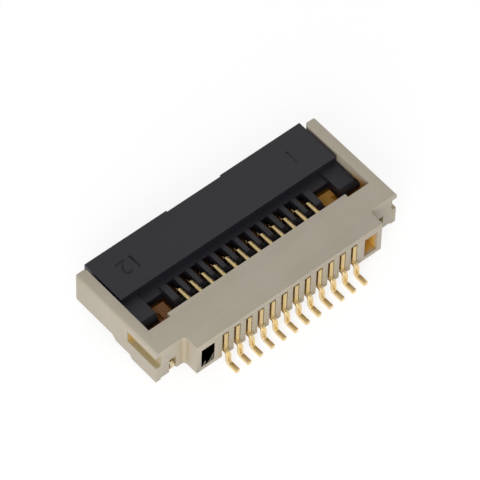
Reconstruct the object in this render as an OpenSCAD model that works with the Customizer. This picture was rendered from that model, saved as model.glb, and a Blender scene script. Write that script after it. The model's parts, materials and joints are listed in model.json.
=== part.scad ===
// Flat flex cable connector for a circuit board, with a flip lock over the cable entry.
// Millimetres. X runs along the row of contacts and +Y points to the cable entry.
// Z = 0 is the face of the board. The origin lies on the board under the middle of the part.
// Until placed() moves them, all pieces are drawn with Y = 0 on the rear face of the housing.

/* [Contact row] */
// Number of contacts
contact_count = 12; // [4:1:24]
// Distance from one contact to the next
pitch = 0.5; // [0.5:0.05:1]
// Thickness of the sheet that the contacts are blanked from
contact_t = 0.15; // [0.12:0.01:0.2]
// Depth of the upright strip at the back of a contact
spine_w = 0.4; // [0.25:0.05:0.6]
// How far the upright strip stands out of the rear face of the housing
spine_proud = 0.03; // [0:0.01:0.05]
// Gap between a contact and each side of its slot
slot_gap = 0.06; // [0.02:0.01:0.06]
// Height of the upper arm that reaches over the axle
upper_t = 0.15; // [0.1:0.01:0.2]
// Thickness of the hook in front of the axle
hook_t = 0.1; // [0.06:0.01:0.15]
// Chamfer on the tip of this arm
tip_chamfer = 0.05; // [0.02:0.01:0.08]
// Height of the lower spring arm
spring_t = 0.13; // [0.1:0.01:0.16]
// How far the spring arm lies below the floor of the cable slot
spring_drop = 0.12; // [0.08:0.01:0.14]
// Gap between the spring arm and the bottom of its groove
spring_room = 0.08; // [0.05:0.01:0.1]
// Distance from the rear face to the cable contact point
point_y = 3.4; // [2.8:0.05:3.7]
// How far the contact point stands above the floor of the cable slot
point_rise = 0.15; // [0.05:0.01:0.2]
// Distance along the arm over which it rises to the contact point
point_run = 0.45; // [0.4:0.01:0.6]
// Length of the flat top of the contact point
point_flat = 0.16; // [0.1:0.01:0.2]
// Gap between the end of the spring arm and the end of its groove
groove_room = 0.1; // [0.05:0.01:0.2]

/* [Solder leads] */
// How far the leads reach behind the rear face
lead_reach = 0.65; // [0.5:0.01:1]
// Thickness of a lead
lead_t = 0.15; // [0.1:0.01:0.18]
// Distance from the rear face to the first bend of a lead
lead_root = 0.02; // [0:0.01:0.1]
// Height of the top of the lead where it leaves the housing
lead_top = 0.65; // [0.6:0.01:0.7]
// Inside radius of the two bends in a lead
bend_r = 0.05; // [0.03:0.01:0.08]
// Slope of the lead between its bends, in degrees
lead_slope = 86; // [60:1:88]

/* [Housing] */
// Distance from the last contact to the end of the housing
end_margin = 2.39; // [2.2:0.01:2.8]
// Height of the housing above the board
housing_h = 1.7; // [1.65:0.01:2]
// Distance from the rear face to the front of the arms
arm_end_y = 4.79; // [4.6:0.01:5.2]
// Width of an arm
arm_w = 0.44; // [0.4:0.01:0.5]
// Thickness of the roof over the contacts
roof_t = 0.22; // [0.15:0.01:0.25]
// Depth of the roof in the middle
roof_y = 1.68; // [1.6:0.01:1.7]
// How far the roof stands back beside its middle
roof_step = 0.15; // [0.05:0.01:0.2]
// Distance from the last contact to the step in the roof
roof_margin = 1.04; // [0.9:0.01:1.2]
// How far the wall behind the lock stands back under the roof
roof_lip = 0.08; // [0.05:0.01:0.1]
// Height of the floor of the cable slot
floor_h = 0.48; // [0.42:0.01:0.5]
// Height of the beds on both sides of the cable slot
bed_h = 0.78; // [0.7:0.01:0.8]
// Distance from the last contact to the side wall of the cable slot
cable_margin = 0.55; // [0.5:0.01:0.6]
// Distance from the rear face to the inner end of the cable slot
stop_y = 1.25; // [1.1:0.01:1.3]
// Radius of the upright corners at the front of the arms
arm_corner_r = 0.18; // [0.05:0.01:0.19]
// Radius of the outer and front edges of the top
top_edge_r = 0.12; // [0.02:0.01:0.18]

/* [Rear block] */
// How far the block that holds the contacts stands out at the back
boss_reach = 0.63; // [0.5:0.01:0.8]
// Distance from the last contact to the end of the rear block
boss_margin = 1.2; // [1.1:0.01:1.3]
// Gap between the rear block and the board
boss_lift = 0.31; // [0.25:0.01:0.4]
// Radius of the corner between the rear block and the shoulders
boss_fillet = 0.15; // [0.05:0.01:0.2]

/* [Underside] */
// Gap between the front of an arm and the board
arm_lift = 0.51; // [0.4:0.01:0.55]
// Gap between the middle of an arm and the board
middle_lift = 0.33; // [0.28:0.01:0.36]
// Gap between a rear corner and the board
corner_lift = 0.19; // [0.1:0.01:0.25]
// Width of the lowest strip at a rear corner
corner_w = 0.21; // [0.1:0.01:0.3]
// How much higher the underside lies beside that strip
corner_step = 0.08; // [0.02:0.01:0.1]
// Distance from the rear face to the step under the front of an arm
front_step_y = 2.84; // [2.6:0.01:3.2]
// Distance from the rear face to the step under the back of an arm
rear_step_y = 1.94; // [1.7:0.01:2.2]
// Distance from the rear face to the back of the seat on the board
seat_back_y = 0.9; // [0.8:0.01:1.1]
// Distance from the rear face to the front of the seat on the board
seat_front_y = 4.4; // [4.2:0.01:4.5]

/* [Hollows] */
// Width of the hollows beside the contacts in the rear face
pocket_w = 0.55; // [0.4:0.01:0.6]
// Height of these hollows
pocket_h = 0.9; // [0.7:0.01:1]
// Height of the wall below these hollows
pocket_wall = 0.17; // [0.12:0.01:0.2]
// Depth of these hollows
pocket_depth = 0.85; // [0.5:0.01:0.9]
// Distance from the last contact to such a hollow
pocket_margin = 0.46; // [0.42:0.01:0.55]
// Height of the slots in the end faces
slot_h = 0.51; // [0.4:0.01:0.55]
// Thickness of the wall above the slots in the end faces
slot_wall = 0.26; // [0.2:0.01:0.3]
// Depth of the slots in the end faces
slot_depth = 0.19; // [0.1:0.01:0.2]
// Distance from the rear face to the front of the slots in the end faces
slot_end_y = 2.07; // [1.8:0.01:2.3]

/* [Guide posts] */
// Width of the posts that stand beside the cable slot
post_w = 0.56; // [0.4:0.01:0.6]
// Height of these posts above the board
post_h = 1.05; // [0.95:0.01:1.15]
// Distance from the rear face to the front of these posts
post_y = 2.5; // [2.2:0.01:2.6]

/* [Lock] */
// How far the lock reaches past the front of the arms
lock_overhang = 0.12; // [0.1:0.01:0.3]
// Depth of the thick plate of the lock
plate_depth = 1.85; // [1.6:0.01:1.9]
// Thickness of this plate
plate_t = 0.75; // [0.6:0.01:0.8]
// How far the plate lies below the top of the housing
plate_drop = 0.04; // [0.01:0.01:0.1]
// Gap between the plate and an arm
plate_gap = 0.1; // [0.05:0.01:0.15]
// How far the shelf behind the plate lies below it
shelf_drop = 0.38; // [0.3:0.01:0.4]
// Thickness of the shelf
shelf_t = 0.3; // [0.26:0.01:0.32]
// Depth of the shelf between the plate and the pockets
shelf_depth = 0.2; // [0.12:0.01:0.35]
// How far the ribs and end blocks stand above the shelf
rib_rise = 0.1; // [0.05:0.01:0.15]
// Distance from the back of the shelf to the full height of a rib
rib_ramp = 0.1; // [0.05:0.01:0.2]
// How far the tops of the ribs and end blocks reach past the hinge axis, to the front
rib_top_end = 0.02; // [0:0.01:0.1]
// Width of the pocket round the tip of each contact
tip_pocket_w = 0.32; // [0.28:0.01:0.34]
// Width of the outer ribs beside the first and the last contact
outer_rib_w = 0.26; // [0.2:0.01:0.36]
// Width of the end windows of the lock
end_window_w = 0.75; // [0.6:0.01:0.8]
// How much deeper the shelf is in front of an end window
end_window_step = 0.21; // [0.1:0.01:0.25]
// Width of the shallow notch in the front edge
notch_w = 2.3; // [1.5:0.05:3]
// Depth of this notch
notch_depth = 0.05; // [0.02:0.01:0.1]
// Chamfer under the front edge, where the cable goes in
entry_chamfer = 0.15; // [0.05:0.01:0.25]

/* [Hinge] */
// Distance from the rear face to the hinge axis
axle_y = 2.1; // [2:0.01:2.15]
// Radius of the axle and of its end pins
axle_r = 0.14; // [0.11:0.01:0.16]
// Running gap round the axle
run_gap = 0.04; // [0.03:0.01:0.06]
// Length of the end pins inside the arms
pin_reach = 0.12; // [0.08:0.01:0.15]
// Radius of the ribs and end blocks round the axle
knuckle_r = 0.15; // [0.12:0.01:0.18]

/* [Hold-down fittings] */
// Thickness of the sheet that the fittings are blanked from
fitting_t = 0.18; // [0.14:0.01:0.26]
// Gap between a fitting and each side of its slot
fitting_gap = 0.06; // [0.02:0.01:0.08]
// Distance from the last contact to the middle of a fitting
fitting_margin = 1.68; // [1.6:0.01:1.75]
// Height of a fitting above the board
fitting_h = 0.66; // [0.6:0.01:0.8]
// Height of the slot above a fitting
fitting_room = 0.25; // [0.05:0.01:0.35]
// Depth of a fitting from back to front
fitting_depth = 0.7; // [0.5:0.01:0.75]
// How far a fitting stands back from the shoulder of the housing
fitting_inset = 0.01; // [0:0.01:0.05]
// Radius of the upper rear corner of a fitting
fitting_r = 0.14; // [0.05:0.01:0.2]
// Length of the solder foot that a fitting rests on
foot_depth = 0.4; // [0.3:0.01:0.45]
// Distance from the back of a fitting to its solder foot
heel = 0.2; // [0.1:0.01:0.22]

/* [Hidden] */
$fn = 48;
// Gap on each side of a pressed-in contact or fitting
fit_gap = 0.02;
// Distance over which a step in the underside slopes
step_run = 0.2;
// How far a cut runs past the face that it opens
past = 1;
// Smallest share of a solid that reaches into the next one
bite = 0.05;

row_half = (contact_count - 1) * pitch / 2;
end_x = row_half + end_margin;
arm_x = end_x - arm_w;
boss_x = row_half + boss_margin;
cable_x = row_half + cable_margin;
roof_x = row_half + roof_margin;
pocket_x = row_half + pocket_margin;
fitting_x = row_half + fitting_margin;
fitting_end_y = boss_reach + fitting_depth;
seat_x = fitting_x - fitting_t / 2 - fitting_gap - bite;

roof_z = housing_h - roof_t;
contact_top = roof_z - fit_gap;
axle_z = contact_top - upper_t - run_gap - axle_r;
spring_z = floor_h - spring_drop - spring_t;
groove_z = spring_z - spring_room;
post_x = cable_x + post_w;
wall_y = roof_y - roof_step - roof_lip;
pocket_z = boss_lift + pocket_wall;
slot_z = housing_h - slot_wall - slot_h;

lock_front_y = arm_end_y + lock_overhang;
lock_top = housing_h - plate_drop;
plate_bottom = lock_top - plate_t;
plate_back_y = lock_front_y - plate_depth;
lock_x = arm_x - plate_gap;
shelf_top = lock_top - shelf_drop;
shelf_bottom = shelf_top - shelf_t;
shelf_back_y = plate_back_y - shelf_depth;
rib_top = shelf_top + rib_rise;
rib_front_y = shelf_back_y - rib_ramp;
rib_back_y = axle_y + rib_top_end;
outer_rib_x = row_half + tip_pocket_w / 2;
end_window_x = outer_rib_x + outer_rib_w;
end_block_x = end_window_x + end_window_w;
tip_y = axle_y + axle_r + run_gap + hook_t;

middle_y = (lock_front_y - lead_reach) / 2;

CONTACTS = [for (i = [1 : contact_count]) str("contact_", i)];

// Moves a piece drawn from the rear face so that the origin is under the middle.
module placed() {
    translate([0, -middle_y, 0]) children();
}

// Extrudes a drawing of Y against Z along X, from x0 to x1.
module slab(x0, x1) {
    translate([x0, 0, 0]) rotate([90, 0, 90]) linear_extrude(x1 - x0) children();
}

// The same slab at both ends of the part.
module end_slabs(x0, x1) {
    slab(x0, x1) children();
    slab(-x1, -x0) children();
}

// A box between two corners.
module block(low, high) {
    translate(low) cube(high - low);
}

// A copy of each child at the other end of the part.
module both_ends() {
    children();
    mirror([1, 0, 0]) children();
}

// Points along an arc, with angles in degrees.
function arc(centre, r, from, to, steps = 6) =
    [for (i = [0 : steps]) let (a = from + (to - from) * i / steps) centre + r * [cos(a), sin(a)]];

function contact_x(i) = i * pitch - row_half;

// What is cut off a square corner at the origin to round it.
module corner_waste(r) {
    difference() {
        translate([-r, -r]) square(r + bite);
        translate([-r, -r]) circle(r);
    }
}

// Where a line from a point touches a circle, on its upper side (1) or its lower side (-1).
function tangent_point(from, centre, r, side) =
    let (
        d = from - centre,
        a = atan2(d[1], d[0]) + side * acos(r / norm(d))
    )
    centre + r * [cos(a), sin(a)];

// ---- Housing ----

// Side view of an end of the housing up to a height, with the steps in its underside.
module end_profile(top, lift = corner_lift + corner_step) {
    polygon([
        [boss_reach, lift], [rear_step_y - step_run / 2, lift],
        [rear_step_y, middle_lift], [front_step_y - step_run, middle_lift],
        [front_step_y, arm_lift], [arm_end_y, arm_lift],
        [arm_end_y, top], [boss_reach, top]
    ]);
}

// Plan of the block behind the cable slot, with rounded inner corners at its shoulders.
module rear_plan() {
    difference() {
        union() {
            translate([-boss_x, 0]) square([2 * boss_x, stop_y]);
            translate([-end_x + bite, boss_reach]) square([2 * (end_x - bite), stop_y - boss_reach]);
            for (side = [-1, 1])
                translate([side * boss_x - boss_fillet, boss_reach - boss_fillet])
                    square([2 * boss_fillet, 2 * boss_fillet]);
        }
        for (side = [-1, 1])
            translate([side * (boss_x + boss_fillet), boss_reach - boss_fillet]) circle(boss_fillet);
    }
}

// Everything moulded, before its hollows are cut.
module housing_solid() {
    // arms
    end_slabs(arm_x, end_x) end_profile(housing_h);
    // lowest strips at the rear corners
    end_slabs(end_x - corner_w, end_x) end_profile(housing_h, corner_lift);
    // beds beside the cable slot
    end_slabs(cable_x, arm_x + bite) end_profile(bed_h);
    // rear block, above the board gap
    translate([0, 0, boss_lift]) linear_extrude(housing_h - boss_lift) rear_plan();
    // shoulders down to the lower corners, with the walls behind the end blocks
    end_slabs(cable_x, arm_x + bite) {
        translate([boss_reach, corner_lift + corner_step])
            square([wall_y - boss_reach, housing_h - corner_lift - corner_step]);
    }
    // roof
    block([-arm_x - bite, stop_y - bite, roof_z], [arm_x + bite, roof_y - roof_step, housing_h]);
    block([-roof_x, stop_y - bite, roof_z], [roof_x, roof_y, housing_h]);
    // seat on the board, which is the floor of the cable slot
    block([-seat_x, seat_back_y, 0], [seat_x, seat_front_y, floor_h]);
    // lip of the floor in front of the seat
    block(
        [-arm_x - bite, seat_front_y - bite, middle_lift],
        [arm_x + bite, arm_end_y - arm_corner_r, floor_h]
    );
    // posts beside the cable slot
    both_ends() block([cable_x, stop_y - bite, bed_h - bite], [post_x, post_y, post_h]);
}

// Slot for one contact: from the rear face into the cable slot, and on along the floor.
module contact_slot(x) {
    half = contact_t / 2 + slot_gap;
    block([x - half, -past, groove_z], [x + half, stop_y + bite, roof_z]);
    block([x - half, stop_y, groove_z], [x + half, point_y + point_run + groove_room, floor_h + past]);
}

module housing() {
    color([0.74, 0.7, 0.62]) placed() difference() {
        housing_solid();
        for (i = [0 : contact_count - 1]) contact_slot(contact_x(i));
        both_ends() {
            // hollow in the rear face
            block(
                [pocket_x, -past, pocket_z],
                [pocket_x + pocket_w, pocket_depth, pocket_z + pocket_h]
            );
            // slot in the end face, open at the back
            block(
                [end_x - slot_depth, boss_reach - past, slot_z],
                [end_x + past, slot_end_y, slot_z + slot_h]
            );
            // slot for the fitting, open at the back and below
            block(
                [fitting_x - fitting_t / 2 - fitting_gap, boss_reach - past, -past],
                [fitting_x + fitting_t / 2 + fitting_gap, fitting_end_y + fit_gap, fitting_h + fitting_room]
            );
            // bearing for the end pin of the lock
            translate([arm_x - past, axle_y, axle_z]) rotate([0, 90, 0])
                cylinder(h = past + pin_reach + fit_gap, r = axle_r + run_gap);
            // rounded front corners of the arm
            translate([end_x, arm_end_y, -past]) linear_extrude(housing_h + 2 * past)
                corner_waste(arm_corner_r);
            translate([arm_x, arm_end_y, -past]) linear_extrude(housing_h + 2 * past)
                mirror([1, 0]) corner_waste(arm_corner_r);
            // rounded outer and front edges of the top
            translate([end_x, arm_end_y + past, housing_h]) rotate([90, 0, 0])
                linear_extrude(arm_end_y + 2 * past) corner_waste(top_edge_r);
            slab(arm_x - bite, end_x + bite) translate([arm_end_y, housing_h]) corner_waste(top_edge_r);
        }
    }
}

// ---- Lock ----

// Side view of a rib, from the shelf over its ramp to the round part over the axle.
module rib_profile() {
    axle = [axle_y, axle_z];
    above = [rib_back_y, rib_top];
    below = [axle_y + knuckle_r, shelf_bottom];
    translate(axle) circle(knuckle_r);
    polygon([
        axle, tangent_point(above, axle, knuckle_r, 1), above, [rib_front_y, rib_top],
        [shelf_back_y + bite, shelf_top], [shelf_back_y + bite, shelf_bottom],
        below, tangent_point(below, axle, knuckle_r, -1)
    ]);
}

// Side view of an end block, which is a rib that runs on to the plate.
module end_block_profile() {
    rib_profile();
    translate([rib_front_y, shelf_bottom])
        square([plate_back_y - rib_front_y + bite, rib_top - shelf_bottom]);
}

// Side view of the shelf behind the plate, with its back at a distance.
module shelf_profile(back_y) {
    translate([back_y, shelf_bottom]) square([plate_back_y - back_y + bite, shelf_t]);
}

// Side view of the plate, chamfered below where the cable goes in.
module plate_profile() {
    polygon([
        [plate_back_y, plate_bottom], [lock_front_y - entry_chamfer, plate_bottom],
        [lock_front_y, plate_bottom + entry_chamfer], [lock_front_y, lock_top],
        [plate_back_y, lock_top]
    ]);
}

module lock() {
    color([0.22, 0.22, 0.24]) placed() {
        difference() {
            slab(-lock_x, lock_x) plate_profile();
            // shallow notch in the front edge
            block(
                [-notch_w / 2, lock_front_y - notch_depth, plate_bottom - past],
                [notch_w / 2, lock_front_y + past, lock_top + past]
            );
        }
        slab(-end_window_x, end_window_x) shelf_profile(shelf_back_y);
        end_slabs(end_window_x - bite, end_block_x + bite) shelf_profile(shelf_back_y - end_window_step);
        // end blocks and outer ribs
        end_slabs(end_block_x, lock_x) end_block_profile();
        end_slabs(outer_rib_x, end_window_x) rib_profile();
        // ribs between the contacts
        for (i = [0 : contact_count - 2]) {
            middle = contact_x(i) + pitch / 2;
            half = (pitch - tip_pocket_w) / 2;
            slab(middle - half, middle + half) rib_profile();
        }
        // axle under the contact tips
        slab(-end_window_x + bite, end_window_x - bite) translate([axle_y, axle_z]) circle(axle_r);
        // end pins
        end_slabs(lock_x - bite, arm_x + pin_reach) translate([axle_y, axle_z]) circle(axle_r);
    }
}

// ---- Contacts ----

// Side view of the gull-wing lead, from inside the housing to its foot on the board.
module lead_profile() {
    outer_r = bend_r + lead_t;
    middle_r = bend_r + lead_t / 2;
    upper = [-lead_root, lead_top - outer_r];
    fall = (upper[1] + 2 * middle_r * cos(lead_slope) - outer_r) / sin(lead_slope);
    lower = [upper[0] - 2 * middle_r * sin(lead_slope) - fall * cos(lead_slope), outer_r];
    polygon(concat(
        [[bite, lead_top]],
        arc(upper, outer_r, 90, 90 + lead_slope),
        arc(lower, bend_r, lead_slope - 90, -90),
        [[-lead_reach, lead_t], [-lead_reach, 0]],
        arc(lower, outer_r, -90, lead_slope - 90),
        arc(upper, bend_r, 90 + lead_slope, 90),
        [[bite, lead_top - lead_t]]
    ));
}

// Side view of the upper arm, with its hook in front of the axle.
module upper_arm_profile() {
    difference() {
        union() {
            translate([-spine_proud, axle_z + axle_r + run_gap]) square([tip_y + spine_proud, upper_t]);
            translate([tip_y - 2 * hook_t, axle_z]) square([2 * hook_t, axle_r + run_gap + upper_t / 2]);
        }
        translate([axle_y, axle_z]) circle(axle_r + run_gap);
        translate([tip_y, contact_top]) rotate(45) square(tip_chamfer * sqrt(2), center = true);
    }
}

// Side view of the spring arm in its groove, with the contact point near its end.
module spring_profile() {
    high = floor_h + point_rise - spring_t;
    under = [
        [0, lead_top - lead_t], [spine_w - spine_proud, lead_top - lead_t],
        [stop_y, spring_z], [point_y - point_run, spring_z],
        [point_y - point_flat / 2, high], [point_y + point_flat / 2, high],
        [point_y + point_run, spring_z]
    ];
    over = [for (i = [len(under) - 1 : -1 : 0]) under[i] + [0, spring_t]];
    polygon(concat(under, over));
}

module contact(x) {
    color([0.86, 0.7, 0.36]) placed() slab(x - contact_t / 2, x + contact_t / 2) {
        translate([-spine_proud, lead_top - lead_t]) square([spine_w, contact_top - lead_top + lead_t]);
        upper_arm_profile();
        spring_profile();
        lead_profile();
    }
}

// ---- Hold-down fittings ----

// Side view of a fitting: a blade pressed in from behind, on a foot for solder.
module fitting_profile() {
    back = boss_reach + fitting_inset;
    polygon(concat(
        arc([back + fitting_r, fitting_h - fitting_r], fitting_r, 180, 90),
        [
            [fitting_end_y, fitting_h], [fitting_end_y, middle_lift],
            [back + heel + foot_depth, lead_t], [back + heel + foot_depth, 0],
            [back + heel, 0], [back, 2 * heel]
        ]
    ));
}

module fitting(x) {
    color([0.85, 0.8, 0.65]) placed() slab(x - fitting_t / 2, x + fitting_t / 2) fitting_profile();
}

housing();
lock();
fitting(-fitting_x);  // left_fitting
fitting(fitting_x);  // right_fitting
for (i = [0 : contact_count - 1]) contact(contact_x(i));
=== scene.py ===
"""Flat flex cable connector: moulded housing, flip lock, twelve plated contacts and two solder fittings.

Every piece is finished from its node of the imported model, which keeps the true shape and place: its loose
triangles are merged, its flat faces cleaned, its edges rounded, and the materials are built from nodes.
Work on a mesh is done in millimetres on the bench, and each finished piece goes back to metres.
"""

import json
import math

import bpy
from bpy.props import FloatProperty, FloatVectorProperty, PointerProperty
from mathutils import Matrix, Vector

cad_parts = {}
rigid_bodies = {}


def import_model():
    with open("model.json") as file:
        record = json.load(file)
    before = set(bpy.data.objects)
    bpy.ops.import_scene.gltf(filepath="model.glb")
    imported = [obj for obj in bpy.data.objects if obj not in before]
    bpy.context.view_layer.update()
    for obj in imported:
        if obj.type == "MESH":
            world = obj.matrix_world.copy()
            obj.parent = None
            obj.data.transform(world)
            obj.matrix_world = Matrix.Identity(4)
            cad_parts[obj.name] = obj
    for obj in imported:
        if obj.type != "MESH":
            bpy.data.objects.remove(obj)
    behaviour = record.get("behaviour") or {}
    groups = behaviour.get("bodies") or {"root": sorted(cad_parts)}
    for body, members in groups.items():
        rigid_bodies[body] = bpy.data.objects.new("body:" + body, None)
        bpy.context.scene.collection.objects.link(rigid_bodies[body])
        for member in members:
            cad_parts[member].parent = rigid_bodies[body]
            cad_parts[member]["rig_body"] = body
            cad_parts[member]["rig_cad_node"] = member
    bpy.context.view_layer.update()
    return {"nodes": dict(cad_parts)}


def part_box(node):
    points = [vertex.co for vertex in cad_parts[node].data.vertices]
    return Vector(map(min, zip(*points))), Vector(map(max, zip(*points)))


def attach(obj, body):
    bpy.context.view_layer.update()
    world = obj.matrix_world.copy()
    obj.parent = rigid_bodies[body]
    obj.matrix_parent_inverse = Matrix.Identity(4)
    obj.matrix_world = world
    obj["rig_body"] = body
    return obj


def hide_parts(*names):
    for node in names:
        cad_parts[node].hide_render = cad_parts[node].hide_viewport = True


bl_info = {
    "name": "Flex Cable Connector",
    "version": (1, 0, 0),
    "blender": (4, 5, 0),
    "location": "View3D > Sidebar > Connector",
    "description": "Finishes a flat flex cable connector in moulded plastic and plated metal",
    "category": "Object",
}

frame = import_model()

MM = 0.001
BASE = "base"
LOCK = "lock"
CONTACT_PREFIX = "contact_"
CONTACTS = sorted(
    (name for name in frame["nodes"] if name.startswith(CONTACT_PREFIX)),
    key=lambda name: int(name.removeprefix(CONTACT_PREFIX)),
)

# Bench work, in millimetres and degrees
MERGE_WITHIN = 0.0005
FLAT_WITHIN = 0.3
NUMBER_FROM_END = 1.35
NUMBER_FROM_FRONT = 0.9

# Places of the housing's hollows, as distances from the faces of its box
POCKET_INNER_SIDE = 1.96 * MM
POCKET_OUTER_SIDE = 1.35 * MM
POCKET_DEPTH = 1 * MM
POCKET_SKIN = 0.26 * MM
END_SLOT_DEPTH = 0.25 * MM
END_SLOT_LENGTH = 2.1 * MM
END_SLOT_TOP = 0.24 * MM
END_SLOT_BOTTOM = 0.8 * MM
ARM_WIDTH = 0.42 * MM
ROOF_DEPTH = 1.42 * MM

# Lamps and view, in metres
LAMP_DISTANCE = 0.1
LAMP_SIZE = 0.07
VIEW_TARGET = Vector((0, -0.63, 1)) * MM
VIEW_RIGHT = -0.657 * MM
VIEW_UP = 0.955 * MM


def colour_property(name, description, default):
    """A colour that the user can change."""
    return FloatVectorProperty(
        name=name, description=description, default=default, size=3, min=0, max=1, subtype="COLOR"
    )


def length_property(name, description, default):
    """A length in metres that the user can change."""
    return FloatProperty(
        name=name, description=description, default=default, min=0, precision=6, unit="LENGTH"
    )


def factor_property(name, description, default):
    """A share from 0 to 1 that the user can change."""
    return FloatProperty(name=name, description=description, default=default, min=0, max=1, subtype="FACTOR")


def strength_property(name, description, default):
    """The strength of a light, which the user can change."""
    return FloatProperty(name=name, description=description, default=default, min=0)


def power_property(name, description, default):
    """The power of a lamp in watts, which the user can change."""
    return FloatProperty(name=name, description=description, default=default, min=0, unit="POWER")


def angle_property(name, description, degrees):
    """An angle, given in degrees, that the user can change."""
    return FloatProperty(
        name=name, description=description, default=math.radians(degrees), unit="ROTATION"
    )


class HousingSettings(bpy.types.PropertyGroup):
    """Sizes and finish of the moulded housing, and the colours of its painted shade and painted light."""

    plastic: colour_property("Plastic", "Colour of the outer faces", (0.505, 0.448, 0.362))
    cloud: colour_property("Cloud", "Second colour in the slow flow pattern", (0.475, 0.424, 0.33))
    # painted shade: colour that darkens the inner corners, standing for the shade that falls there
    corner: colour_property("Corner", "Colour along the inner corners", (0.41, 0.33, 0.17))
    # painted light: amber in the hollows, standing for light that comes through the plastic
    amber: colour_property("Amber", "Colour of the hollows, where light comes through", (0.66, 0.37, 0.06))
    # painted light: honey glow in the well under the lock, standing for light that comes through the plastic
    honey: colour_property("Honey", "Colour of the well under the lock", (0.5, 0.22, 0.008))
    # painted shade: dark brown at the bottom of the deepest hollows and at the dim end of the painted light
    # in the well
    brown: colour_property("Brown", "Colour at the bottom of the deepest hollows", (0.24, 0.08, 0.008))
    reach: length_property("Reach", "How far walls near a face darken it", 0.45 * MM)
    roughness: factor_property("Roughness", "Roughness of the moulded skin", 0.52)
    edge_radius: length_property("Edge Radius", "Radius of the moulded edges", 0.035 * MM)


class LockSettings(bpy.types.PropertyGroup):
    """Sizes and finish of the flip lock."""

    plastic: colour_property("Plastic", "Colour of the black plastic", (0.0098, 0.0088, 0.014))
    roughness: factor_property("Roughness", "Roughness of the spark-eroded skin", 0.48)
    edge_radius: length_property("Edge Radius", "Radius of the moulded edges", 0.03 * MM)
    number_size: length_property("Number Size", "Size of the two plain numbers", 0.85 * MM)
    number_depth: length_property("Number Depth", "Depth of these numbers", 0.03 * MM)


class MetalSettings(bpy.types.PropertyGroup):
    """Sizes and finish of the contacts and fittings."""

    gold: colour_property("Gold", "Colour of the gold plating", (0.86, 0.64, 0.29))
    pale_gold: colour_property("Pale Gold", "Colour of the plating where it is thin", (0.8, 0.62, 0.36))
    plate: colour_property("Plate", "Colour of the plating on the fittings", (0.62, 0.56, 0.4))
    roughness: factor_property("Roughness", "Roughness of the plating", 0.16)
    edge_radius: length_property("Edge Radius", "Radius of the blanked edges", 0.018 * MM)


class StageSettings(bpy.types.PropertyGroup):
    """Floor, lamps and camera."""

    floor_size: length_property("Floor Size", "Side of the square floor", 3.0)
    sky: strength_property("Sky", "Strength of the even light all round", 0.46)
    zenith: strength_property("Zenith", "Strength overhead in the reflections", 0.55)
    key_power: power_property("Key", "Power of the key lamp", 0.064)
    fill_power: power_property("Fill", "Power of the fill lamp", 0.02)
    azimuth: angle_property("Azimuth", "Turn of the view about the object", -41.91)
    elevation: angle_property("Elevation", "Height of the view over the floor", 53.1)
    roll: angle_property("Roll", "Tilt of the camera", 1.94)
    distance: length_property("Distance", "Distance from the camera to its target", 159.9 * MM)
    lens: FloatProperty(name="Lens", description="Focal length in millimetres", default=368.2, min=1)


# ---- Bench work on meshes ----


def choose(*pieces):
    """Selects these objects and no others, and makes the last one active."""
    bpy.ops.object.select_all(action="DESELECT")
    for piece in pieces:
        piece.select_set(True)
    bpy.context.view_layer.objects.active = pieces[-1]


def resize(piece, factor):
    """Scales a piece about the origin, in its mesh."""
    choose(piece)
    piece.scale = (factor, factor, factor)
    bpy.ops.object.transform_apply(location=False, rotation=False, scale=True)


def bench_copy(node, name):
    """A copy of a CAD node's mesh in millimetres, merged to one clean skin."""
    choose(frame["nodes"][node])
    bpy.ops.object.duplicate()
    piece = bpy.context.view_layer.objects.active
    bpy.ops.object.parent_clear(type="CLEAR_KEEP_TRANSFORM")
    piece.name = piece.data.name = name
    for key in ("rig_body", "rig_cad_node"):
        del piece[key]
    piece.data.materials.clear()
    resize(piece, 1 / MM)
    bpy.ops.object.mode_set(mode="EDIT")
    bpy.ops.mesh.select_all(action="SELECT")
    bpy.ops.mesh.remove_doubles(threshold=MERGE_WITHIN)
    bpy.ops.mesh.dissolve_limited(angle_limit=math.radians(FLAT_WITHIN))
    bpy.ops.object.mode_set(mode="OBJECT")
    return piece


def apply_modifier(piece, kind, **settings):
    """Adds a modifier, sets it and applies it."""
    choose(piece)
    modifier = piece.modifiers.new(kind.title(), kind)
    for key, value in settings.items():
        setattr(modifier, key, value)
    bpy.ops.object.modifier_apply(modifier=modifier.name)


def round_edges(piece, radius, segments=3, angle=35):
    """Rounds the sharp edges of a piece on the bench, and keeps its flat faces flat in the shading."""
    choose(piece)
    bpy.ops.object.shade_smooth()
    apply_modifier(
        piece,
        "BEVEL",
        width=radius / MM,
        segments=segments,
        limit_method="ANGLE",
        angle_limit=math.radians(angle),
        harden_normals=True,
        use_clamp_overlap=True,
        miter_outer="MITER_ARC",
    )


def engrave(piece, body, x, y, level, size, depth):
    """Cuts a plain number into the top of a piece on the bench, to be read from the cable side."""
    bpy.ops.object.select_all(action="DESELECT")
    bpy.ops.object.text_add(location=(0, 0, 0))
    cutter = bpy.context.view_layer.objects.active
    cutter.data.body = body
    cutter.data.size = size
    cutter.data.extrude = depth
    cutter.data.resolution_u = 4
    cutter.data.align_x = cutter.data.align_y = "CENTER"
    bpy.ops.object.convert(target="MESH")
    cutter.location = (x, y, level)
    cutter.rotation_euler = (0, 0, math.pi)
    choose(cutter)
    bpy.ops.object.transform_apply(location=True, rotation=True, scale=False)
    apply_modifier(piece, "BOOLEAN", operation="DIFFERENCE", solver="EXACT", object=cutter)
    choose(cutter)
    bpy.ops.object.delete()


def even_shading(piece, angle=30):
    """Keeps large flat faces flat in the shading, next to rounded edges and cuts."""
    choose(piece)
    bpy.ops.object.shade_smooth_by_angle(angle=math.radians(angle))
    apply_modifier(piece, "WEIGHTED_NORMAL", keep_sharp=True)


def off_the_bench(piece, material, slot, body, *nodes):
    """Takes a finished piece back to metres and puts it into the frame for its CAD nodes."""
    resize(piece, MM)
    piece.data.materials.append(material)
    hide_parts(*nodes)
    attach(piece, body)
    return piece


# ---- Materials ----


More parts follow.
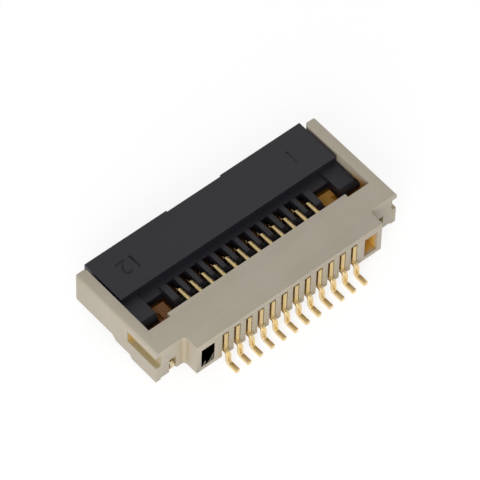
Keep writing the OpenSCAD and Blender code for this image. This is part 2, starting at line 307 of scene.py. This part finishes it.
def node(tree, kind, inputs=(), **settings):
    """Adds a node, sets it and fills its inputs with values or with other nodes' outputs."""
    made = tree.nodes.new(kind)
    for key, value in settings.items():
        setattr(made, key, value)
    for key, value in dict(inputs).items():
        if isinstance(value, bpy.types.NodeSocket):
            tree.links.new(value, made.inputs[key])
        else:
            made.inputs[key].default_value = value
    return made


def math_node(tree, operation, a, b=0.0, c=0.0):
    """The output of a Math node."""
    return node(tree, "ShaderNodeMath", {0: a, 1: b, 2: c}, operation=operation).outputs[0]


def ramp(tree, value, low, high, start=0.0, end=1.0):
    """A smooth change from start to end while the value goes from low to high."""
    made = node(
        tree,
        "ShaderNodeMapRange",
        {"Value": value, "From Min": low, "From Max": high, "To Min": start, "To Max": end},
        interpolation_type="SMOOTHSTEP",
    )
    return made.outputs["Result"]


def noise(tree, coordinates, size, detail=2.0):
    """Noise with features of about a size in metres."""
    made = node(tree, "ShaderNodeTexNoise", {"Vector": coordinates, "Scale": 1 / size, "Detail": detail})
    return made.outputs["Fac"]


def blend_colours(tree, share, first, second):
    """A mix of two colours."""
    made = node(tree, "ShaderNodeMix", {0: share}, data_type="RGBA")
    for socket, value in ((6, first), (7, second)):
        if isinstance(value, bpy.types.NodeSocket):
            tree.links.new(value, made.inputs[socket])
        else:
            made.inputs[socket].default_value = (*value, 1)
    return made.outputs[2]


def new_material(name, **values):
    """A material with one shader whose even values are set on its own sockets."""
    material = bpy.data.materials.new(name)
    material.use_nodes = True
    tree = material.node_tree
    tree.nodes.clear()
    shader = node(tree, "ShaderNodeBsdfPrincipled", values)
    output = node(tree, "ShaderNodeOutputMaterial", {"Surface": shader.outputs[0]})
    output.location = (300, 0)
    place = node(tree, "ShaderNodeTexCoord").outputs["Object"]
    return material, tree, shader, place


def set_bump(tree, shader, height, distance, strength=1.0):
    """Drives the shader's normal from a height."""
    bump = node(tree, "ShaderNodeBump", {"Height": height, "Distance": distance, "Strength": strength})
    tree.links.new(bump.outputs[0], shader.inputs["Normal"])


def inside(tree, value, low, high, soft):
    """1 where a value lies between two limits, with soft ends inside them."""
    rise = ramp(tree, value, low, low + soft)
    fall = ramp(tree, value, high - soft, high, 1.0, 0.0)
    return math_node(tree, "MULTIPLY", rise, fall)


def product(tree, *values):
    """All the values multiplied."""
    result = values[0]
    for value in values[1:]:
        result = math_node(tree, "MULTIPLY", result, value)
    return result


def housing_plastic(settings):
    """Pale moulded plastic, with painted shade in its inner corners and deepest hollows, and painted amber
    and honey light in its hollows and in the well under the lock, standing for light that comes through the
    plastic.
    """
    low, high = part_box("housing")
    material, tree, shader, place = new_material("housing_plastic", **{"IOR": 1.5})
    axes = node(tree, "ShaderNodeSeparateXYZ", {0: place})
    x = math_node(tree, "ABSOLUTE", axes.outputs[0])
    y, z = axes.outputs[1], axes.outputs[2]
    grain = noise(tree, place, 0.05 * MM, 3)
    flow = noise(tree, place, 1.6 * MM, 4)
    skin = blend_colours(tree, ramp(tree, flow, 0.3, 0.7), tuple(settings.plastic), tuple(settings.cloud))
    openness = node(
        tree, "ShaderNodeAmbientOcclusion", {"Distance": settings.reach}, only_local=True, samples=16
    ).outputs["AO"]
    # painted shade: the inner corners darken towards the corner colour where ambient occlusion finds walls
    # close by
    painted_corner_shade = blend_colours(tree, ramp(tree, openness, 0.5, 1.0), tuple(settings.corner), skin)
    # painted shade: the deepest hollows turn dark brown where ambient occlusion is strongest
    painted_deep_shade = blend_colours(tree, ramp(tree, openness, 0.0, 0.3), tuple(settings.brown), painted_corner_shade)
    # painted light: amber in the hollows beside the contacts, standing for light that comes through the
    # plastic, brightest where their walls are thin
    pocket_glow_mask = product(
        tree,
        inside(tree, x, high.x - POCKET_INNER_SIDE, high.x - POCKET_OUTER_SIDE, 0.02 * MM),
        inside(tree, y, low.y + 0.03 * MM, low.y + POCKET_DEPTH, 0.16 * MM),
        inside(tree, z, low.z + POCKET_SKIN, high.z - POCKET_SKIN, 0.05 * MM),
    )
    lit = blend_colours(tree, pocket_glow_mask, painted_deep_shade, tuple(settings.amber))
    # slots in the end faces: painted corner shade, turning to painted amber light at their front end
    end_slot = product(
        tree,
        inside(tree, x, high.x - END_SLOT_DEPTH, high.x - 0.01 * MM, 0.05 * MM),
        inside(tree, y, low.y, low.y + END_SLOT_LENGTH, 0.01 * MM),
        inside(tree, z, high.z - END_SLOT_BOTTOM, high.z - END_SLOT_TOP, 0.02 * MM),
    )
    front_share = ramp(tree, y, low.y + 1.85 * MM, low.y + 2.07 * MM, 0.0, 0.6)
    painted_slot_light = blend_colours(tree, front_share, tuple(settings.corner), tuple(settings.amber))
    lit = blend_colours(tree, math_node(tree, "MULTIPLY", end_slot, 0.75), lit, painted_slot_light)
    # the well under the lock gets its light through the plastic alone: painted light from brown at the -x
    # end to honey at the +x end, and a painted glow on the faces just in front of the roof, fading to the
    # front and towards the top
    roof_front = low.y + ROOF_DEPTH
    well = product(
        tree,
        inside(tree, x, -1, high.x - ARM_WIDTH, 0.01 * MM),
        inside(tree, y, roof_front, 1, 0.03 * MM),
        ramp(tree, z, low.z + 1.0 * MM, low.z + 1.25 * MM, 1.0, 0.0),
    )
    corner_glow = product(
        tree,
        inside(tree, x, -1, high.x - ARM_WIDTH, 0.01 * MM),
        inside(tree, y, roof_front, roof_front + 1.5 * MM, 0.03 * MM),
        ramp(tree, y, roof_front + 0.3 * MM, roof_front + 1.4 * MM, 1.0, 0.0),
        ramp(tree, z, high.z - 0.4 * MM, high.z - 0.06 * MM, 1.0, 0.0),
    )
    covered = math_node(tree, "MAXIMUM", well, corner_glow)
    lit_end = ramp(tree, axes.outputs[0], -3 * MM, 3 * MM)
    glow = blend_colours(tree, lit_end, tuple(settings.brown), tuple(settings.honey))
    tree.links.new(blend_colours(tree, covered, lit, glow), shader.inputs["Base Color"])
    skin_rough = ramp(tree, grain, 0.3, 0.7, settings.roughness - 0.05, settings.roughness + 0.05)
    closed = math_node(tree, "MAXIMUM", covered, pocket_glow_mask)
    rough = math_node(tree, "MULTIPLY_ADD", closed, 0.4, skin_rough)
    tree.links.new(rough, shader.inputs["Roughness"])
    set_bump(tree, shader, grain, 0.0012 * MM)
    return material


def lock_plastic(settings):
    """Black moulded plastic with a fine spark-eroded grain."""
    material, tree, shader, place = new_material(
        "lock_plastic", **{"Base Color": (*settings.plastic, 1), "IOR": 1.52}
    )
    grain = noise(tree, place, 0.035 * MM, 4)
    patches = noise(tree, place, 1.1 * MM, 2)
    mixed = math_node(tree, "MULTIPLY_ADD", patches, 0.4, math_node(tree, "MULTIPLY", grain, 0.6))
    tree.links.new(
        ramp(tree, mixed, 0.3, 0.7, settings.roughness - 0.06, settings.roughness + 0.08),
        shader.inputs["Roughness"],
    )
    set_bump(tree, shader, grain, 0.002 * MM)
    return material


def plated_metal(name, bright, thin, roughness, painted_shade_above):
    """Plated sheet metal: a cloud of paler thin plating, fine marks of the tool, and painted shade above a
    height.
    """
    material, tree, shader, place = new_material(name, **{"Metallic": 1.0})
    height = node(tree, "ShaderNodeSeparateXYZ", {0: place}).outputs[2]
    marks = node(tree, "ShaderNodeMapping", {"Vector": place, "Scale": (5, 1, 1)}).outputs[0]
    rolled = noise(tree, marks, 0.1 * MM, 3)
    cloud = noise(tree, place, 0.16 * MM, 3)
    plate = blend_colours(tree, ramp(tree, cloud, 0.35, 0.65), bright, thin)
    # painted shade: above the height the plating darkens towards its shade colour, standing for the darker
    # surroundings it reflects
    painted_shade_share = math_node(tree, "MULTIPLY", ramp(tree, height, painted_shade_above, painted_shade_above + 0.1 * MM), 0.45)
    shade = tuple(0.55 * part for part in bright)
    tree.links.new(blend_colours(tree, painted_shade_share, plate, shade), shader.inputs["Base Color"])
    tree.links.new(math_node(tree, "MULTIPLY_ADD", rolled, 0.12, roughness), shader.inputs["Roughness"])
    set_bump(tree, shader, math_node(tree, "ADD", rolled, cloud), 0.006 * MM)
    return material


def stage_material(name, own, lift):
    """A pale matt surface that the camera and the reflections see near white, shadow and all."""
    material = bpy.data.materials.new(name)
    material.use_nodes = True
    tree = material.node_tree
    tree.nodes.clear()
    rays = node(tree, "ShaderNodeLightPath").outputs
    seen = math_node(tree, "MAXIMUM", rays["Is Camera Ray"], rays["Is Glossy Ray"])
    seen = math_node(tree, "MAXIMUM", seen, rays["Is Transmission Ray"])
    plain = node(tree, "ShaderNodeBsdfDiffuse", {"Color": (0.85, 0.85, 0.85, 1)}).outputs[0]
    dim = node(tree, "ShaderNodeBsdfDiffuse", {"Color": (own, own, own, 1)}).outputs[0]
    glow = node(tree, "ShaderNodeEmission", {"Strength": lift}).outputs[0]
    bright = node(tree, "ShaderNodeAddShader", {0: dim, 1: glow}).outputs[0]
    shown = node(tree, "ShaderNodeMixShader", {0: seen, 1: plain, 2: bright}).outputs[0]
    node(tree, "ShaderNodeOutputMaterial", {"Surface": shown})
    return material


# ---- Pieces ----


class CONNECTOR_OT_housing(bpy.types.Operator):
    """Finish the moulded housing"""

    bl_idname = "connector.housing"
    bl_label = "Housing"

    def execute(self, context):
        settings = context.scene.connector_housing
        piece = bench_copy("housing", "moulded_housing")
        round_edges(piece, settings.edge_radius)
        off_the_bench(piece, housing_plastic(settings), "housing_plastic", BASE, "housing")
        return {"FINISHED"}


class CONNECTOR_OT_lock(bpy.types.Operator):
    """Finish the flip lock"""

    bl_idname = "connector.lock"
    bl_label = "Lock"

    def execute(self, context):
        settings = context.scene.connector_lock
        piece = bench_copy("lock", "moulded_lock")
        round_edges(piece, settings.edge_radius)
        low, high = (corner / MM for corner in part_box("lock"))
        middle = high.y - NUMBER_FROM_FRONT
        depth = settings.number_depth / MM
        size = settings.number_size / MM
        engrave(piece, str(len(CONTACTS)), low.x + NUMBER_FROM_END, middle, high.z, size, depth)
        engrave(piece, "1", high.x - NUMBER_FROM_END, middle, high.z, size, depth)
        even_shading(piece)
        off_the_bench(piece, lock_plastic(settings), "lock_plastic", LOCK, "lock")
        return {"FINISHED"}


class CONNECTOR_OT_contacts(bpy.types.Operator):
    """Finish one contact and copy it along the row"""

    bl_idname = "connector.contacts"
    bl_label = "Contacts"

    def execute(self, context):
        settings = context.scene.connector_metal
        first = bench_copy(CONTACTS[0], "plated_contact_1")
        round_edges(first, settings.edge_radius, segments=2, angle=50)
        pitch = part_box(CONTACTS[1])[0].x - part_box(CONTACTS[0])[0].x
        gold = plated_metal(
            "gold_plate", tuple(settings.gold), tuple(settings.pale_gold), settings.roughness, 0.6 * MM
        )
        for number, name in enumerate(CONTACTS[1:], start=2):
            choose(first)
            bpy.ops.object.duplicate()
            copy = bpy.context.view_layer.objects.active
            copy.name = copy.data.name = f"plated_contact_{number}"
            copy.location.x = (number - 1) * pitch / MM
            bpy.ops.object.transform_apply(location=True, rotation=False, scale=False)
            off_the_bench(copy, gold, "contact_metal", BASE, name)
        off_the_bench(first, gold, "contact_metal", BASE, CONTACTS[0])
        return {"FINISHED"}


class CONNECTOR_OT_fittings(bpy.types.Operator):
    """Finish the two solder fittings"""

    bl_idname = "connector.fittings"
    bl_label = "Fittings"

    def execute(self, context):
        settings = context.scene.connector_metal
        tin = plated_metal(
            "fitting_plate", tuple(settings.plate), tuple(settings.pale_gold), settings.roughness, 1 * MM
        )
        for side in ("left", "right"):
            piece = bench_copy(f"{side}_fitting", f"{side}_solder_fitting")
            round_edges(piece, settings.edge_radius, segments=2)
            off_the_bench(piece, tin, "fitting_metal", BASE, f"{side}_fitting")
        return {"FINISHED"}


def add_lamp(name, azimuth, elevation, distance, size, power):
    """A square soft lamp that looks at the middle of the object."""
    a, e = math.radians(azimuth), math.radians(elevation)
    out = Vector((math.sin(a) * math.cos(e), -math.cos(a) * math.cos(e), math.sin(e)))
    bpy.ops.object.light_add(type="AREA", location=out * distance)
    lamp = bpy.context.view_layer.objects.active
    lamp.name = lamp.data.name = name
    lamp.rotation_euler = out.to_track_quat("Z", "Y").to_euler()
    lamp.data.size = size
    lamp.data.energy = power


class CONNECTOR_OT_stage(bpy.types.Operator):
    """Add the floor, the lamps, the sky and the camera"""

    bl_idname = "connector.stage"
    bl_label = "Stage"

    def execute(self, context):
        settings = context.scene.connector_stage
        bpy.ops.object.select_all(action="DESELECT")
        bpy.ops.mesh.primitive_plane_add(size=settings.floor_size)
        floor = bpy.context.view_layer.objects.active
        floor.name = "floor"
        floor.data.materials.append(stage_material("floor_paper", 0.3, 0.8))
        add_lamp("key_lamp", -50, 24, LAMP_DISTANCE, LAMP_SIZE, settings.key_power)
        add_lamp("fill_lamp", 120, 10, LAMP_DISTANCE, LAMP_SIZE, settings.fill_power)
        self.add_sky(context.scene, settings)
        self.add_camera(context.scene, settings)
        return {"FINISHED"}

    def add_sky(self, scene, settings):
        """An even sky, white behind the object and dimmer overhead in the reflections."""
        sky = scene.world = bpy.data.worlds.new("sky")
        sky.use_nodes = True
        tree = sky.node_tree
        tree.nodes.clear()
        rays = node(tree, "ShaderNodeLightPath").outputs
        direction = node(tree, "ShaderNodeTexCoord").outputs["Generated"]
        height = node(tree, "ShaderNodeSeparateXYZ", {0: direction})
        dome = ramp(tree, height.outputs[2], 0.1, 0.9, 1.0, settings.zenith)
        seen = math_node(tree, "MAXIMUM", rays["Is Camera Ray"], rays["Is Transmission Ray"])
        lit = node(tree, "ShaderNodeMix", {0: rays["Is Glossy Ray"], 2: settings.sky, 3: dome}).outputs[0]
        level = node(tree, "ShaderNodeMix", {0: seen, 2: lit, 3: 1.0}).outputs[0]
        light = node(tree, "ShaderNodeBackground", {"Color": (1, 1, 1, 1), "Strength": level})
        node(tree, "ShaderNodeOutputWorld", {"Surface": light.outputs[0]})
        scene.view_settings.view_transform = "Standard"

    def add_camera(self, scene, settings):
        """A long lens from behind and above."""
        out = Vector(
            (
                math.sin(settings.azimuth) * math.cos(settings.elevation),
                -math.cos(settings.azimuth) * math.cos(settings.elevation),
                math.sin(settings.elevation),
            )
        )
        turn = out.to_track_quat("Z", "Y") @ Matrix.Rotation(settings.roll, 3, "Z").to_quaternion()
        right = turn @ Vector((1, 0, 0))
        up = turn @ Vector((0, 1, 0))
        centre = VIEW_TARGET + VIEW_RIGHT * right + VIEW_UP * up
        bpy.ops.object.camera_add(location=centre + out * settings.distance)
        camera = bpy.context.view_layer.objects.active
        camera.name = "camera"
        camera.rotation_mode = "QUATERNION"
        camera.rotation_quaternion = turn
        camera.data.sensor_width = 36
        camera.data.lens = settings.lens
        camera.data.clip_start = 0.01
        camera.data.clip_end = 10
        scene.camera = camera


class CONNECTOR_PT_panel(bpy.types.Panel):
    """The connector's steps and settings"""

    bl_idname = "CONNECTOR_PT_panel"
    bl_label = "Flex Cable Connector"
    bl_space_type = "VIEW_3D"
    bl_region_type = "UI"
    bl_category = "Connector"

    def draw(self, context):
        for step in STEPS:
            self.layout.operator(step.bl_idname)


SETTINGS = {
    "connector_housing": HousingSettings,
    "connector_lock": LockSettings,
    "connector_metal": MetalSettings,
    "connector_stage": StageSettings,
}
STEPS = (
    CONNECTOR_OT_housing,
    CONNECTOR_OT_lock,
    CONNECTOR_OT_contacts,
    CONNECTOR_OT_fittings,
    CONNECTOR_OT_stage,
)


def register():
    for cls in (*SETTINGS.values(), *STEPS, CONNECTOR_PT_panel):
        bpy.utils.register_class(cls)
    for name, group in SETTINGS.items():
        setattr(bpy.types.Scene, name, PointerProperty(type=group))


def unregister():
    for name in SETTINGS:
        delattr(bpy.types.Scene, name)
    for cls in reversed((*SETTINGS.values(), *STEPS, CONNECTOR_PT_panel)):
        bpy.utils.unregister_class(cls)


def main():
    register()
    bpy.ops.connector.housing()
    bpy.ops.connector.lock()
    bpy.ops.connector.contacts()
    bpy.ops.connector.fittings()
    bpy.ops.connector.stage()


if __name__ == "__main__":
    main()
